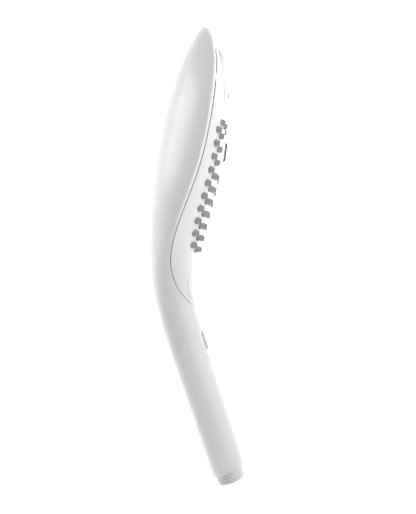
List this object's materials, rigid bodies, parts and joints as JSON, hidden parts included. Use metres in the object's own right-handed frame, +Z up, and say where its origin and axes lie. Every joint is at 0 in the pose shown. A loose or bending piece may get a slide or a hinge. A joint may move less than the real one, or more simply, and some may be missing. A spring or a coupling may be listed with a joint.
{
  "type": "handheld shower head",
  "caption": "Handheld shower head: curved handle with a male hose thread, slanted spray face with silicone nozzles, a select button and a flow slider.",
  "frame": {"origin": "centre of the threaded inlet's lower end face, on the handle's axis", "axes": "+Z up along the handle's axis towards the head, -Y the side that the water leaves, X across the head; the mirror plane is X = 0"},
  "size_m": [0.0722, 0.0957, 0.2779],
  "materials": {
    "white_shell": "polished white ABS, thin lacquer",
    "face_white": "polished white ABS, slightly softer shine",
    "control_white": "white ABS, satin shine",
    "nozzle_silicone": "light grey liquid silicone",
    "insert_grey": "mid grey acetal, satin",
    "acetal_natural": "natural acetal, moulded",
    "acetal_blue": "blue acetal, moulded",
    "abs_black": "black ABS, fine grain",
    "ceramic_white": null,
    "seal_black": "black EPDM",
    "steel_bright": "stainless steel, drawn",
    "steel_screw": "stainless steel, pan head"
  },
  "bodies": {
    "casing": {"rear_shell": "white_shell", "spray_face": "face_white", "nozzle_mat": "nozzle_silicone", "jet_plate": "acetal_natural", "chamber_gasket": "seal_black", "chamber_cover": "acetal_natural", "head_screws": "steel_screw", "jet_nozzle": "insert_grey", "whirl_nozzle": "insert_grey", "swirl_core": "acetal_natural", "diverter_housing": "acetal_natural", "diverter_cover": "abs_black", "cover_clip": "steel_bright", "diverter_seat": "ceramic_white", "outlet_duct": "acetal_natural", "feed_duct": "acetal_natural", "valve_body": "abs_black", "valve_seal": "seal_black", "throttle_seat": "acetal_blue", "valve_cap": "abs_black", "inlet_nipple": "white_shell", "nipple_seals": "seal_black", "nipple_clip": "steel_bright", "waterway_tube": "acetal_natural", "tube_seals": "seal_black", "check_cage": "acetal_blue", "flow_limiter": "acetal_blue", "filter_screen": "steel_bright"},
    "select_button": {"select_button": "control_white", "button_pusher": "acetal_natural", "button_seal": "seal_black", "button_spring": "steel_bright"},
    "diverter_rotor": {"diverter_rotor": "acetal_blue", "rotor_spring": "steel_bright", "diverter_disc": "ceramic_white"},
    "flow_slider": {"flow_slider": "control_white", "slider_carriage": "acetal_blue", "flow_spool": "acetal_natural", "spool_seals": "seal_black"},
    "check_poppet": {"check_poppet": "acetal_natural", "check_spring": "steel_bright"}
  },
  "joints": [
    {"name": "select_press", "type": "slide", "parent": "casing", "child": "select_button", "axis": [0, 0.9483, 0.3173], "range_m": [0, 0.0018], "stiffness_N_per_m": 800, "springref_m": -0.002, "deforming": ["button_spring"]},
    {"name": "diverter_turn", "type": "hinge", "parent": "casing", "child": "diverter_rotor", "pos_m": [0, -0.00163, 0.13101], "axis": [0, 0.9483, 0.3173], "continuous": true},
    {"name": "flow_slide", "type": "slide", "parent": "casing", "child": "flow_slider", "axis": [0, 0, -1], "range_m": [0, 0.006]},
    {"name": "check_lift", "type": "slide", "parent": "casing", "child": "check_poppet", "axis": [0, 0, 1], "range_m": [0, 0.0025], "stiffness_N_per_m": 60, "springref_m": -0.002, "deforming": ["check_spring"]}
  ]
}
